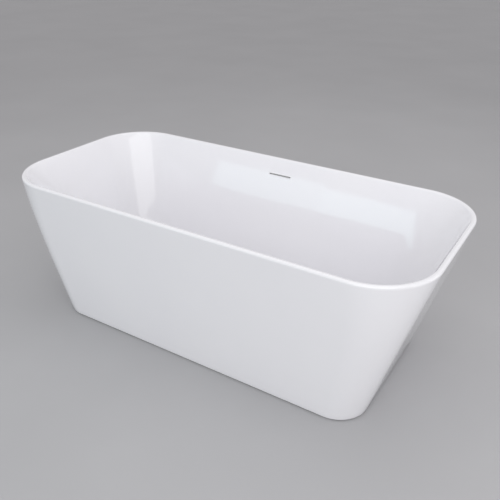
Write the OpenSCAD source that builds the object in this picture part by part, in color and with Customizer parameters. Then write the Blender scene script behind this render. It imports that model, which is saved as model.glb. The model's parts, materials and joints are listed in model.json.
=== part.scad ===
// Freestanding double-walled bathtub with levelling feet, slot overflow and press-to-open waste.
// X runs along the tub, Y across it with the overflow on the +Y wall, Z up from the floor.

/* [Tub] */
// Length over the rim
tub_l = 1700; // [1650:5:1760]
// Width over the rim
tub_w = 800; // [770:5:840]
// Height of the rim above the floor
tub_h = 600; // [580:5:620]
// Corner radius of the rim, seen from above
rim_corner_r = 224; // [210:1:250]
// Width of the rim
rim_w = 19; // [17:0.5:24]
// Rounding of the rim's two edges
rim_round = 8; // [7:0.5:8]

/* [Skirt] */
// Length of the skirt at its foot
foot_l = 1368; // [1320:5:1400]
// Width of the skirt at its foot
foot_w = 651; // [630:2:660]
// Corner radius of the skirt at its foot
foot_corner_r = 114; // [100:1:130]
// Shadow gap between the skirt and the floor
skirt_gap = 4; // [3.5:0.5:6]
// Width of the flange turned in at the skirt's foot
flange_w = 26; // [22:1:30]

/* [Basin] */
// Height of the basin's floor above the ground
basin_floor_z = 145; // [140:1:155]
// Lean of the two end walls from upright
end_lean = 21; // [19:0.5:22]
// Lean of the two long walls from upright
side_lean = 20; // [18:0.5:21]
// Radius between an end wall and the floor
end_fillet = 150; // [130:5:160]
// Radius between a long wall and the floor
side_fillet = 110; // [100:5:115]
// Corner radius of the flat floor, seen from above
floor_corner_r = 100; // [80:5:120]

/* [Shells] */
// Thickness of the acrylic sheet
acrylic_t = 5; // [4:0.5:5]
// Thickness of the glass-fibre backing
backing_t = 3; // [2:0.5:3]
// Bond line between layers
bond_gap = 0.4; // [0.3:0.1:0.5]

/* [Frame] */
// Outer side of the square steel tube
tube_side = 25; // [22:1:25]
// Wall of the steel tube
tube_wall = 2; // [1.5:0.5:2.5]
// Length of the two long rails
rail_l = 1120; // [1060:10:1140]
// Distance from the middle to each long rail
rail_y = 170; // [165:1:175]
// Distance from the middle to each outer crossbar
crossbar_x = 480; // [440:5:490]
// Distance from the middle to each inner crossbar
mid_crossbar_x = 180; // [160:5:220]
// Distance from the middle to each foot
foot_y = 225; // [215:1:230]
// Thickness of the floor board
board_t = 15; // [12:1:16]

/* [Waste and overflow] */
// Height of the overflow slot's middle
slot_z = 534; // [528:1:536]
// Length of the overflow slot
slot_l = 103; // [90:1:110]
// Height of the overflow slot's opening
slot_h = 5.4; // [5:0.2:6]
// Radius of the hole in the basin's floor
drain_hole_r = 26; // [25:0.5:27]
// Outer radius of the tailpiece pipe
tailpiece_r = 20; // [20:0.5:20]
// Travel of the plug
plug_travel = 9; // [7:0.5:9]

/* [Hidden] */

$fn = 48;
eps = 0.01;
// Clearances: a running fit, and a part that only has to miss its neighbour
run_gap = 0.05;
free_gap = 0.3;

white = [0.95, 0.95, 0.97];
glass_fibre = [0.80, 0.78, 0.68];
timber = [0.78, 0.62, 0.42];
steel = [0.66, 0.68, 0.70];
chrome = [0.86, 0.87, 0.89];
black = [0.10, 0.10, 0.11];
grey_plastic = [0.42, 0.43, 0.45];

// ---------- outlines and lofts ----------
corner_n = 12;

// Quarter circle of an outline's corner
function corner(cx, cy, r, a0) =
    [for (i = [0:corner_n]) [cx + r * cos(a0 + 90 * i / corner_n), cy + r * sin(a0 + 90 * i / corner_n)]];

// Rounded rectangle at height z, from its half length, half width and corner radius
function ring(hl, hw, r, z) = [for (p = concat(
    corner(hl - r, hw - r, r, 0),
    corner(r - hl, hw - r, r, 90),
    corner(r - hl, r - hw, r, 180),
    corner(hl - r, r - hw, r, 270))) [p.x, p.y, z]];

// Two triangles for each step round, between ring a and ring b
function band(a, b, n) = [for (j = [0:n - 1], t = [0:1])
    t == 0 ? [a * n + j, b * n + j, b * n + (j + 1) % n]
           : [a * n + j, b * n + (j + 1) % n, a * n + (j + 1) % n]];

// Solid through rings: closed = true joins the last ring to the first, or else both ends are capped
module loft(rings, closed) {
    n = len(rings[0]);
    m = len(rings);
    sides = [for (i = [0:m - (closed ? 1 : 2)]) each band(i, (i + 1) % m, n)];
    caps = closed ? [] : [[for (j = [0:n - 1]) j], [for (j = [n - 1:-1:0]) (m - 1) * n + j]];
    polyhedron(points = [for (r = rings) each r], faces = concat(sides, caps));
}

// ---------- the tub's surfaces ----------
rim_mid_z = tub_h - rim_round;

// Half size of the outer surface at height z, moved inward by off
function out_half(z, half_top, half_foot, off) =
    let (lean = atan((half_top - half_foot) / tub_h),
         zt = rim_mid_z - rim_round * sin(lean),
         xt = half_top - rim_round + rim_round * cos(lean),
         half = z > zt ? half_top - rim_round + sqrt(max(0, pow(rim_round, 2) - pow(z - rim_mid_z, 2)))
                       : half_foot + (xt - half_foot) * z / zt)
    half - off / cos(lean);
function out_hl(z, off = 0) = out_half(z, tub_l / 2, foot_l / 2, off);
function out_hw(z, off = 0) = out_half(z, tub_w / 2, foot_w / 2, off);
function out_r(z, off = 0) =
    let (v = min(z, rim_mid_z) / tub_h,
         r = foot_corner_r + (rim_corner_r - foot_corner_r) * (0.5 * v + 0.5 * pow(v, 4)),
         drop = z > rim_mid_z ? tub_l / 2 - out_hl(z) : 0)
    r - drop - off;
function out_ring(z, off = 0) = ring(out_hl(z, off), out_hw(z, off), out_r(z, off), z);

// Half size of the inner surface at height z, moved outward by off: rim, leaning wall, then fillet
function in_half(z, half_top, lean, fillet, off) =
    let (zr = rim_mid_z + rim_round * sin(lean),
         xr = half_top + rim_round * (1 - cos(lean)),
         zc = basin_floor_z + fillet,
         xf = xr - (zr - zc + fillet * sin(lean)) * tan(lean) - fillet * cos(lean),
         r = fillet + off,
         zt = zc - r * sin(lean),
         xt = xf + r * cos(lean))
    z > zr && off == 0
        ? half_top + rim_round - sqrt(max(0, pow(rim_round, 2) - pow(z - rim_mid_z, 2)))
        : z > zt ? xt + (z - zt) * tan(lean) : xf + sqrt(max(0, pow(r, 2) - pow(z - zc, 2)));
function in_hl(z, off = 0) = in_half(z, tub_l / 2 - rim_w, end_lean, end_fillet, off);
function in_hw(z, off = 0) = in_half(z, tub_w / 2 - rim_w, side_lean, side_fillet, off);
function in_r(z, off = 0) =
    let (w = (z - basin_floor_z + off) / (tub_h - basin_floor_z + off))
    floor_corner_r + (rim_corner_r - rim_w + off - floor_corner_r) * pow(max(0, min(1, w)), 0.35);
function in_ring(z, off = 0) = ring(in_hl(z, off), in_hw(z, off), in_r(z, off), z);

// Heights of the basin's rings, from its floor up, for a surface moved outward by off
fillet_steps = 10;
wall_zs = [300, 380, 470];
function basin_zs(off, top) = concat(
    [for (k = [0:fillet_steps]) let (a = (90 - end_lean) * k / fillet_steps)
        basin_floor_z + end_fillet - (end_fillet + off) * cos(a)],
    wall_zs,
    [top]);
function down(list) = [for (i = [len(list) - 1:-1:0]) list[i]];

// Split between the basin's turned-down lip and the skirt
lip_z = tub_h - 14;
lip_roof_z = tub_h - acrylic_t;
function skirt_zs(top) = [60, 140, 220, 300, 380, 450, 520, top];

// ---------- shells ----------
floor_under_z = basin_floor_z - acrylic_t - bond_gap - backing_t;
drain_recess = 2;
drain_recess_r = 37.5;

// Stadium-shaped prism along Y, for the overflow slot and what fits in it
module slot_prism(l, h, y0, y1) {
    translate([0, y1, slot_z]) rotate([90, 0, 0]) linear_extrude(y1 - y0) {
        square([l - h, h], center = true);
        for (side = [-1, 1]) translate([side * (l - h) / 2, 0]) circle(d = h);
    }
}
trim_wall = 1;
slot_cut_l = slot_l + 2 * trim_wall + 0.6;
slot_cut_h = slot_h + 2 * trim_wall + 0.6;
slot_wall_y = in_hw(slot_z);

module basin() {
    under = [for (z = basin_zs(acrylic_t, lip_roof_z)) in_ring(z, acrylic_t)];
    lip = [for (p = [[lip_roof_z, acrylic_t], [lip_z, acrylic_t], [lip_z, 0]]) out_ring(p[0], p[1])];
    rim_out = [for (a = [-7.5, 0, 22.5, 45, 67.5, 90]) out_ring(rim_mid_z + rim_round * sin(a))];
    rim_in = [for (a = [90, 65, 42]) in_ring(rim_mid_z + rim_round * sin(a))];
    wall = [for (z = down(basin_zs(0, rim_mid_z + rim_round * sin(end_lean)))) in_ring(z)];
    color(white) difference() {
        loft(concat(under, lip, rim_out, rim_in, wall), false);
        slot_prism(slot_cut_l, slot_cut_h, slot_wall_y - 20, slot_wall_y + 30);
        translate([0, 0, floor_under_z - 20]) cylinder(r = drain_hole_r, h = 60);
        translate([0, 0, basin_floor_z - drain_recess]) cylinder(r = drain_recess_r, h = 20);
    }
}

module basin_backing() {
    near = acrylic_t + bond_gap;
    far = near + backing_t;
    top = tub_h - 40;
    outer = [for (z = basin_zs(far, top)) in_ring(z, far)];
    inner = [for (z = down(basin_zs(near, top))) in_ring(z, near)];
    color(glass_fibre) difference() {
        loft(concat(outer, inner), false);
        slot_prism(slot_cut_l + 1, slot_cut_h + 1, slot_wall_y - 20, slot_wall_y + 30);
        translate([0, 0, floor_under_z - 20]) cylinder(r = drain_hole_r + 0.5, h = 60);
    }
}

skirt_edge = 3;
flange_top = skirt_gap + acrylic_t;
module skirt() {
    edge = [for (a = [0, 30, 60, 90]) let (z = skirt_gap + skirt_edge * (1 - cos(a)))
        out_ring(z, skirt_edge * (1 - sin(a)))];
    outside = [for (z = skirt_zs(lip_z)) out_ring(z)];
    inside = [for (z = down(skirt_zs(lip_z))) out_ring(z, acrylic_t)];
    flange = [out_ring(flange_top, acrylic_t), out_ring(flange_top, flange_w), out_ring(skirt_gap, flange_w)];
    color(white) difference() {
        loft(concat(edge, outside, inside, flange), true);
        bracket_places() translate([0, 0, -eps]) cylinder(r = screw_r + run_gap, h = 40);
    }
}

module skirt_backing() {
    near = acrylic_t + bond_gap;
    top = lip_z - 20;
    outside = [for (z = concat([flange_top + bond_gap], skirt_zs(top))) out_ring(z, near)];
    inside = [for (z = down(concat([flange_top + bond_gap], skirt_zs(top)))) out_ring(z, near + backing_t)];
    color(glass_fibre) loft(concat(outside, inside), true);
}

// Strip of adhesive between the basin's wall and the skirt, under the rim
module rim_bond() {
    bottom = lip_z - 16;
    top = lip_roof_z - free_gap;
    outside = [for (z = [bottom, top]) out_ring(z, acrylic_t + free_gap)];
    inside = [for (z = [top, bottom]) in_ring(z, acrylic_t + free_gap)];
    color(grey_plastic) loft(concat(outside, inside), true);
}

// ---------- floor board and frame ----------
board_top = floor_under_z - bond_gap;
rail_top = board_top - board_t;
rail_bottom = rail_top - tube_side;
bar_bottom = rail_bottom - tube_side;
screw_r = 2.4;
board_hole_r = 60;
board_screw_x = [-520, -330, -90, 90, 330, 520];

module floor_board() {
    board_l = rail_l;
    board_w = 2 * rail_y + tube_side + 8;
    board_corner = 60;
    color(timber) difference() {
        translate([0, 0, rail_top]) linear_extrude(board_t) {
            square([board_l - 2 * board_corner, board_w], center = true);
            square([board_l, board_w - 2 * board_corner], center = true);
            for (sx = [-1, 1], sy = [-1, 1])
                translate([sx * (board_l / 2 - board_corner), sy * (board_w / 2 - board_corner)])
                    circle(r = board_corner);
        }
        translate([0, 0, rail_top - eps]) cylinder(r = board_hole_r, h = board_t + 1);
        board_screw_places() translate([0, 0, rail_top - eps]) cylinder(r = screw_r + run_gap, h = 11);
    }
}

// Square tube with round corners along X, its middle at the origin
module square_tube(l) {
    round_r = 2.5;
    rotate([90, 0, 90]) translate([0, 0, -l / 2]) linear_extrude(l) difference() {
        union() {
            square([tube_side, tube_side - 2 * round_r], center = true);
            square([tube_side - 2 * round_r, tube_side], center = true);
            for (sx = [-1, 1], sy = [-1, 1])
                translate([sx, sy] * (tube_side / 2 - round_r)) circle(r = round_r, $fn = 24);
        }
        square(tube_side - 2 * tube_wall, center = true);
    }
}

module board_screw_places() {
    for (x = board_screw_x, sy = [-1, 1]) translate([x, sy * rail_y, 0]) children();
}
module frame_screw_places() {
    for (x = [-crossbar_x, -mid_crossbar_x, mid_crossbar_x, crossbar_x], sy = [-1, 1])
        translate([x, sy * rail_y, 0]) children();
}

module frame_rail(sy) {
    color(steel) difference() {
        translate([0, sy * rail_y, rail_bottom + tube_side / 2]) square_tube(rail_l);
        board_screw_places() translate([0, 0, rail_bottom - eps]) cylinder(r = screw_r + run_gap, h = 50);
        frame_screw_places() translate([0, 0, rail_bottom - eps]) cylinder(r = screw_r + run_gap, h = 12);
    }
}

crossbar_l = 570;
mid_crossbar_l = 2 * rail_y + 60;
stud_r = 6;
module frame_crossbar(x, l) {
    color(steel) difference() {
        translate([x, 0, bar_bottom + tube_side / 2]) rotate([0, 0, 90]) square_tube(l);
        frame_screw_places() translate([0, 0, bar_bottom - 1]) cylinder(r = screw_r + run_gap, h = 40);
        foot_places() translate([0, 0, bar_bottom - 1]) cylinder(r = stud_r + 0.5, h = 40);
        bracket_bolt_places() translate([0, 0, bar_bottom + tube_side / 2]) cylinder(r = screw_r + run_gap, h = 20);
    }
}

// Plastic plug pushed into each open end of the square tubes
module tube_end_caps() {
    plug_side = tube_side - 2 * tube_wall - 0.2;
    color(black) {
        for (sx = [-1, 1], sy = [-1, 1])
            translate([sx * rail_l / 2, sy * rail_y, rail_bottom + tube_side / 2])
                rotate([0, 0, 90 - sx * 90]) end_cap(plug_side);
        for (x = [-crossbar_x, crossbar_x], sy = [-1, 1])
            translate([x, sy * crossbar_l / 2, bar_bottom + tube_side / 2])
                rotate([0, 0, sy * 90]) end_cap(plug_side);
        for (x = [-mid_crossbar_x, mid_crossbar_x], sy = [-1, 1])
            translate([x, sy * mid_crossbar_l / 2, bar_bottom + tube_side / 2])
                rotate([0, 0, sy * 90]) end_cap(plug_side);
    }
}
module end_cap(plug_side) {
    translate([1, 0, 0]) cube([2, tube_side, tube_side], center = true);
    translate([-6, 0, 0]) cube([12 + eps, plug_side, plug_side], center = true);
}

// Hexagon-headed screw standing on its head, its shank up
module screw(shank) {
    head_h = 3;
    head_r = 4.6;
    flange_r = 5.6;
    translate([0, 0, -1]) cylinder(r = flange_r, h = 1);
    translate([0, 0, -1 - head_h]) cylinder(r = head_r, h = head_h, $fn = 6);
    cylinder(r = screw_r, h = shank);
}

module frame_screws() {
    color(steel) frame_screw_places() translate([0, 0, bar_bottom]) screw(tube_side + 8);
}
module board_screws() {
    color(steel) board_screw_places() translate([0, 0, rail_bottom]) screw(tube_side + 9);
}

// ---------- skirt brackets ----------
bracket_t = 2.5;
bracket_w = 34;
bracket_leg_y = crossbar_l / 2 + 3;
bracket_tab = 18;
bracket_top_tab = 10;
flange_screw_y = bracket_leg_y + bracket_t + bracket_tab / 2;
bracket_bolt_y = crossbar_l / 2 - 16;
bracket_screw_dx = 10;

module bracket_places() {
    for (x = [-crossbar_x, crossbar_x], dx = [-bracket_screw_dx, bracket_screw_dx], sy = [-1, 1])
        translate([x + dx, sy * flange_screw_y, 0]) children();
}
module bracket_bolt_places() {
    for (x = [-crossbar_x, crossbar_x], sy = [-1, 1]) translate([x, sy * bracket_bolt_y, 0]) children();
}

// Bent strip: a tab on the crossbar, a leg down its end and a tab on the skirt's flange
module bracket_profile() {
    tab_top = rail_bottom + bracket_t;
    polygon([
        [bracket_bolt_y - bracket_top_tab, rail_bottom], [bracket_leg_y, rail_bottom],
        [bracket_leg_y, flange_top], [bracket_leg_y + bracket_tab, flange_top],
        [bracket_leg_y + bracket_tab, flange_top + bracket_t],
        [bracket_leg_y + bracket_t, flange_top + bracket_t], [bracket_leg_y + bracket_t, tab_top],
        [bracket_bolt_y - bracket_top_tab, tab_top]]);
}
module skirt_brackets() {
    color(steel) difference() {
        for (x = [-crossbar_x, crossbar_x], turn = [0, 180])
            translate([x, 0, 0]) rotate([0, 0, turn]) translate([-bracket_w / 2, 0, 0])
                rotate([90, 0, 90]) linear_extrude(bracket_w) bracket_profile();
        bracket_places() translate([0, 0, flange_top - 5]) cylinder(r = screw_r + run_gap, h = 12);
        bracket_bolt_places() translate([0, 0, rail_bottom - 5]) cylinder(r = screw_r + run_gap, h = 12);
    }
}
module bracket_screws() {
    color(steel) {
        bracket_places() translate([0, 0, flange_top + bracket_t]) mirror([0, 0, 1]) screw(bracket_t + 3.5);
        bracket_bolt_places() translate([0, 0, rail_bottom + bracket_t]) mirror([0, 0, 1]) screw(bracket_t + 8);
    }
}

// ---------- levelling feet ----------
pad_r = 25;
pad_h = 16;
stud_foot_z = 5;
stud_top_z = 128;
nut_h = 10;
nut_across = 18;

module foot_places() {
    for (n = [1:4]) foot_at(n) children();
}
module foot_at(n) {
    sx = n <= 2 ? -1 : 1;
    sy = n % 2 == 1 ? -1 : 1;
    translate([sx * crossbar_x, sy * foot_y, 0]) children();
}

module foot_pad(n) {
    color(black) foot_at(n) rotate_extrude() polygon([
        [0, 0], [pad_r - 1.5, 0], [pad_r, 1.5], [pad_r, 4], [stud_r + 6, 9], [stud_r + 5, pad_h],
        [stud_r + run_gap, pad_h], [stud_r + run_gap, stud_foot_z], [0, stud_foot_z]]);
}
module foot_stud(n) {
    color(steel) foot_at(n) translate([0, 0, stud_foot_z]) cylinder(r = stud_r, h = stud_top_z - stud_foot_z);
}
module foot_nut() {
    difference() {
        cylinder(d = nut_across / cos(30), h = nut_h, $fn = 6);
        translate([0, 0, -1]) cylinder(r = stud_r + run_gap, h = nut_h + 2);
    }
}
module foot_nuts(n) {
    color(steel) foot_at(n) {
        translate([0, 0, bar_bottom - nut_h]) foot_nut();
        translate([0, 0, rail_bottom]) foot_nut();
    }
}

// ---------- overflow ----------
shell_off = acrylic_t + bond_gap + backing_t + free_gap;
box_wall = 2;
box_l = 126;
box_bottom = slot_z - 82;
box_top = slot_z + 13;
// Front and back of the space between the basin and the skirt, at height z
function cavity_front(z) = in_hw(z, shell_off);
function cavity_back(z) = out_hw(z, shell_off);
cavity_lean = atan((cavity_back(box_bottom) - cavity_back(300) + cavity_front(box_bottom) - cavity_front(300))
    / 2 / (box_bottom - 300));

// Slim frame round the slot: a lip on the wall and a sleeve through it
module overflow_trim() {
    lip_t = 0.9;
    lip_grow = 1.2;
    color(white) difference() {
        union() {
            translate([0, slot_wall_y, slot_z]) rotate([90 - side_lean, 0, 0]) linear_extrude(lip_t) {
                h = slot_cut_h + lip_grow;
                square([slot_cut_l + lip_grow - h, h], center = true);
                for (side = [-1, 1]) translate([side * (slot_cut_l + lip_grow - h) / 2, 0]) circle(d = h);
            }
            slot_prism(slot_l + 2 * trim_wall, slot_h + 2 * trim_wall, slot_wall_y - 1.2, cavity_front(slot_z) + 2);
        }
        slot_prism(slot_l, slot_h, slot_wall_y - 20, slot_wall_y + 30);
        translate([0, slot_wall_y, slot_z]) rotate([90 - side_lean, 0, 0])
            translate([0, 0, lip_t]) linear_extrude(20) square([200, 60], center = true);
    }
}

gasket_t = 1;
// Side view of the chamber, drawn in by inset
module box_profile(inset) {
    zb = box_bottom + inset;
    zt = box_top - inset;
    front = gasket_t + inset;
    polygon([[cavity_front(zb) + front, zb], [cavity_back(zb) - inset, zb],
             [cavity_back(zt) - inset, zt], [cavity_front(zt) + front, zt]]);
}
// Chamber behind the slot, with a spigot down to the hose
spigot_r = 9.5;
spigot_bore = 7.8;
spigot_l = 34;
function spigot_y(s) = (cavity_front(box_bottom) + cavity_back(box_bottom)) / 2 - s * sin(cavity_lean);
function spigot_z(s) = box_bottom - s * cos(cavity_lean);
module along_spigot(s) {
    translate([0, spigot_y(s), spigot_z(s)]) rotate([180 - cavity_lean, 0, 0]) children();
}
module overflow_box() {
    color(white) difference() {
        union() {
            translate([-box_l / 2, 0, 0]) rotate([90, 0, 90]) linear_extrude(box_l) box_profile(0);
            along_spigot(-1) cylinder(r = spigot_r, h = spigot_l + 1);
        }
        translate([-box_l / 2 + box_wall, 0, 0]) rotate([90, 0, 90])
            linear_extrude(box_l - 2 * box_wall) box_profile(box_wall);
        slot_prism(slot_cut_l + 1, slot_cut_h + 1, slot_wall_y, cavity_front(slot_z) + 6);
        along_spigot(-4) cylinder(r = spigot_bore, h = spigot_l + 10);
    }
}

// Flat gasket round the slot, between the backing and the chamber
module overflow_gasket() {
    grow = 9;
    color(black) difference() {
        translate([0, cavity_front(slot_z), slot_z]) rotate([90 - side_lean, 0, 0])
            translate([0, 0, -(gasket_t * cos(side_lean) - 0.1)]) linear_extrude(gasket_t * cos(side_lean) - 0.2)
                square([slot_cut_l + grow, slot_cut_h + grow], center = true);
        slot_prism(slot_cut_l + 2, slot_cut_h + 2, slot_wall_y, slot_wall_y + 30);
    }
}

// Hose: straight down the cavity, one bend, then level to the waste body
hose_r = 12;
hose_bore = 9.95;
hose_bend_r = 60;
port_z = 78;
port_end_y = 62;
hose_start = 5;
hose_turn = 90 - cavity_lean;
hose_run = (spigot_z(hose_start) - port_z) / cos(cavity_lean) - hose_bend_r * tan(hose_turn / 2);
bend_y = spigot_y(hose_start + hose_run);
bend_z = spigot_z(hose_start + hose_run);
bend_steps = 9;
// Each station is the middle's y, its z and the direction's angle below level
hose_stations = concat(
    [[spigot_y(hose_start), spigot_z(hose_start), hose_turn]],
    [for (k = [0:bend_steps]) let (a = hose_turn * (1 - k / bend_steps))
        [bend_y + hose_bend_r * (sin(a) - sin(hose_turn)), port_z + hose_bend_r * (1 - cos(a)), a]],
    [[port_end_y - 20, port_z, 0]]);
hose_sides = 12;
function hose_ring(s, r) = [for (j = [0:hose_sides - 1]) let (t = 360 * j / hose_sides)
    [r * cos(t), s[0] - r * sin(t) * sin(s[2]), s[1] + r * sin(t) * cos(s[2])]];
module overflow_hose() {
    outside = [for (s = hose_stations) hose_ring(s, hose_r)];
    inside = [for (s = down(hose_stations)) hose_ring(s, hose_bore)];
    color(grey_plastic) loft(concat(outside, inside), true);
}

clamp_w = 9;
clamp_t = 0.8;
module hose_clamp() {
    difference() {
        union() {
            cylinder(r = hose_r + run_gap + clamp_t, h = clamp_w);
            translate([hose_r + 3.5, 0, clamp_w / 2]) cube([6, 9, clamp_w - 1], center = true);
        }
        translate([0, 0, -1]) cylinder(r = hose_r + run_gap, h = clamp_w + 2);
    }
}
module hose_clamp_upper() {
    color(chrome) along_spigot(spigot_l - 18) hose_clamp();
}
module hose_clamp_lower() {
    color(chrome) translate([0, port_end_y - 14, port_z]) rotate([-90, 0, 0]) hose_clamp();
}

// ---------- waste ----------
seat_z = basin_floor_z - drain_recess;
washer_t = 1.5;
flange_r = 35;
flange_t = 3;
barrel_r = 23.7;
barrel_bore = 20.5;
barrel_bottom = 104;
flange_z = seat_z + washer_t;
hub_r = 9.5;
cartridge_r = 7;
spider_top = 126;
spider_h = 8;

module drain_flange() {
    color(chrome) difference() {
        union() {
            rotate_extrude($fn = 96) polygon([
                [barrel_bore, barrel_bottom], [barrel_r, barrel_bottom], [barrel_r, flange_z], [flange_r, flange_z],
                [flange_r, flange_z + 1.2], [flange_r - 3, flange_z + flange_t], [flange_r - 7, flange_z + flange_t],
                [barrel_bore + 1.5, flange_z + 0.8], [barrel_bore, flange_z - 4]]);
            translate([0, 0, spider_top - spider_h]) cylinder(r = hub_r, h = spider_h);
            for (a = [45, 135]) rotate([0, 0, a]) translate([0, 0, spider_top - spider_h / 2])
                cube([2 * barrel_bore + 3, 3, spider_h - 1], center = true);
        }
        cylinder(r = cartridge_r + run_gap, h = 200);
    }
}
module drain_washer() {
    color(black) translate([0, 0, seat_z]) difference() {
        cylinder(r = flange_r - 1, h = washer_t);
        translate([0, 0, -1]) cylinder(r = drain_hole_r + 0.5, h = washer_t + 2);
    }
}
seal_t = 2;
body_top = floor_under_z - seal_t;
body_r = 36;
body_bottom = 62;
// Inner radius of the way down to the tailpiece
passage_r = 19;
module drain_gasket() {
    color(black) translate([0, 0, body_top]) difference() {
        cylinder(r = body_r - 1, h = seal_t);
        translate([0, 0, -1]) cylinder(r = drain_hole_r, h = seal_t + 2);
    }
}

neck_r = 24;
neck_bottom = 50;
port_bore = 7.8;
body_flange_t = 5;
body_shell_r = 30;
chamber_r = 22.5;
chamber_floor = body_bottom + 4;
module waste_body() {
    color(black) difference() {
        union() {
            translate([0, 0, body_top - body_flange_t]) cylinder(r = body_r, h = body_flange_t);
            translate([0, 0, body_bottom]) cylinder(r = body_shell_r, h = body_top - body_bottom);
            translate([0, 0, neck_bottom]) cylinder(r = neck_r, h = body_bottom - neck_bottom + 1);
            translate([0, 0, port_z]) rotate([-90, 0, 0]) cylinder(r = spigot_r, h = port_end_y);
        }
        translate([0, 0, barrel_bottom - 1]) cylinder(r = barrel_r + run_gap, h = 80);
        translate([0, 0, chamber_floor]) cylinder(r = chamber_r, h = barrel_bottom - chamber_floor);
        translate([0, 0, neck_bottom - 1]) cylinder(r = passage_r, h = 40);
        translate([0, 0, port_z]) rotate([-90, 0, 0]) cylinder(r = port_bore, h = port_end_y + 1);
    }
}

// Ribbed nut that holds the tailpiece's collar against the neck
collar_t = 3;
tail_washer_t = 1.5;
collar_bottom = neck_bottom - tail_washer_t - collar_t;
tail_nut_r = 29;
tail_nut_h = 20;
module tailpiece_nut() {
    bottom = collar_bottom - 4;
    color(black) difference() {
        union() {
            translate([0, 0, bottom]) cylinder(r = tail_nut_r - 1.5, h = tail_nut_h);
            for (a = [0:30:330]) rotate([0, 0, a]) translate([tail_nut_r - 3.5, -2, bottom]) cube([3.5, 4, tail_nut_h]);
        }
        translate([0, 0, collar_bottom]) cylinder(r = neck_r + run_gap, h = 40);
        translate([0, 0, bottom - 1]) cylinder(r = tailpiece_r + free_gap, h = 10);
    }
}
module tailpiece_washer() {
    color(grey_plastic) translate([0, 0, neck_bottom - tail_washer_t]) difference() {
        cylinder(r = neck_r - 0.5, h = tail_washer_t);
        translate([0, 0, -1]) cylinder(r = passage_r, h = tail_washer_t + 2);
    }
}
tail_bottom = 12;
// Outlet below the nut, at full size for a coupling
outlet_l = 28;
module tailpiece() {
    color(black) difference() {
        union() {
            translate([0, 0, tail_bottom]) cylinder(r = tailpiece_r, h = outlet_l);
            translate([0, 0, tail_bottom]) cylinder(r = tailpiece_r - 0.5, h = collar_bottom - tail_bottom + 1);
            translate([0, 0, collar_bottom]) cylinder(r = neck_r - 0.5, h = collar_t);
        }
        translate([0, 0, tail_bottom - 1]) cylinder(r = tailpiece_r - 2, h = 60);
    }
}

// ---------- plug, shown raised ----------
cap_r = 32.5;
cap_z = flange_z + flange_t + 1.5 + plug_travel;
stem_r = 4;
stem_bottom = 120;
collar_r = 5.8;
stem_collar_t = 3;
cartridge_top = 136;
cartridge_bottom = 92;
spring_floor = cartridge_bottom + 2;

module plug_cap() {
    color(chrome) rotate_extrude($fn = 96) polygon(concat(
        [[0, cap_z], [cap_r - 1, cap_z], [cap_r, cap_z + 1], [cap_r, cap_z + 2]],
        [for (k = [1:8]) let (x = cap_r * (1 - k / 8)) [x, cap_z + 2 + 3 * (1 - pow(x / cap_r, 2.4))]]));
}
module plug_seal() {
    ring_t = 2;
    color(black) translate([0, 0, cap_z - ring_t]) difference() {
        cylinder(r = 24.5, h = ring_t);
        translate([0, 0, -1]) cylinder(r = 21, h = ring_t + 2);
    }
}
module plug_stem() {
    color(steel) translate([0, 0, stem_bottom]) {
        cylinder(r = stem_r, h = cap_z - stem_bottom);
        cylinder(r = collar_r, h = stem_collar_t);
    }
}
module plug_cartridge() {
    guide_z = stem_bottom + stem_collar_t + free_gap;
    color(black) difference() {
        union() {
            translate([0, 0, cartridge_bottom]) cylinder(r = cartridge_r, h = cartridge_top - cartridge_bottom);
            translate([0, 0, spider_top]) cylinder(r = hub_r - 1, h = 4);
        }
        translate([0, 0, spring_floor]) cylinder(r = collar_r + free_gap, h = guide_z - spring_floor);
        translate([0, 0, guide_z - 1]) cylinder(r = stem_r + run_gap, h = 30);
    }
}

// Compression spring between the cartridge's floor and the stem's collar
spring_turns = 6;
spring_wire_r = 0.5;
spring_mean_r = 5.2;
spring_steps = 16;
module plug_spring() {
    length = stem_bottom - spring_floor - 2 * spring_wire_r - 0.2;
    total = spring_turns * spring_steps;
    sides = 6;
    points = [for (i = [0:total], j = [0:sides - 1])
        let (a = 360 * i / spring_steps, b = 360 * j / sides, r = spring_mean_r + spring_wire_r * cos(b))
        [r * cos(a), r * sin(a), spring_floor + 0.1 + spring_wire_r + length * i / total + spring_wire_r * sin(b)]];
    walls = [for (i = [0:total - 1], j = [0:sides - 1]) let (k = (j + 1) % sides)
        [i * sides + j, i * sides + k, (i + 1) * sides + k, (i + 1) * sides + j]];
    ends = [[for (j = [sides - 1:-1:0]) j], [for (j = [0:sides - 1]) total * sides + j]];
    color(steel) polyhedron(points = points, faces = concat(walls, ends));
}

basin();
basin_backing();
skirt();
skirt_backing();
rim_bond();
floor_board();
frame_rail(-1);  // frame_rail_front
frame_rail(1);  // frame_rail_rear
frame_crossbar(-crossbar_x, crossbar_l);  // frame_crossbar_left
frame_crossbar(crossbar_x, crossbar_l);  // frame_crossbar_right
frame_crossbar(-mid_crossbar_x, mid_crossbar_l);  // frame_crossbar_mid_left
frame_crossbar(mid_crossbar_x, mid_crossbar_l);  // frame_crossbar_mid_right
tube_end_caps();
frame_screws();
board_screws();
skirt_brackets();
bracket_screws();
for (n = [1:4]) {
    foot_pad(n);
    foot_stud(n);
    foot_nuts(n);
}
overflow_trim();
overflow_gasket();
overflow_box();
overflow_hose();
hose_clamp_upper();
hose_clamp_lower();
drain_flange();
drain_washer();
drain_gasket();
waste_body();
tailpiece_nut();
tailpiece_washer();
tailpiece();
plug_cap();
plug_seal();
plug_stem();
plug_cartridge();
plug_spring();
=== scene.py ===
# The looks of the freestanding bathtub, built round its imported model. Metres, Z up, floor at z = 0.
import json
import math

import bmesh
import bpy
from mathutils import Matrix, Vector


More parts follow.
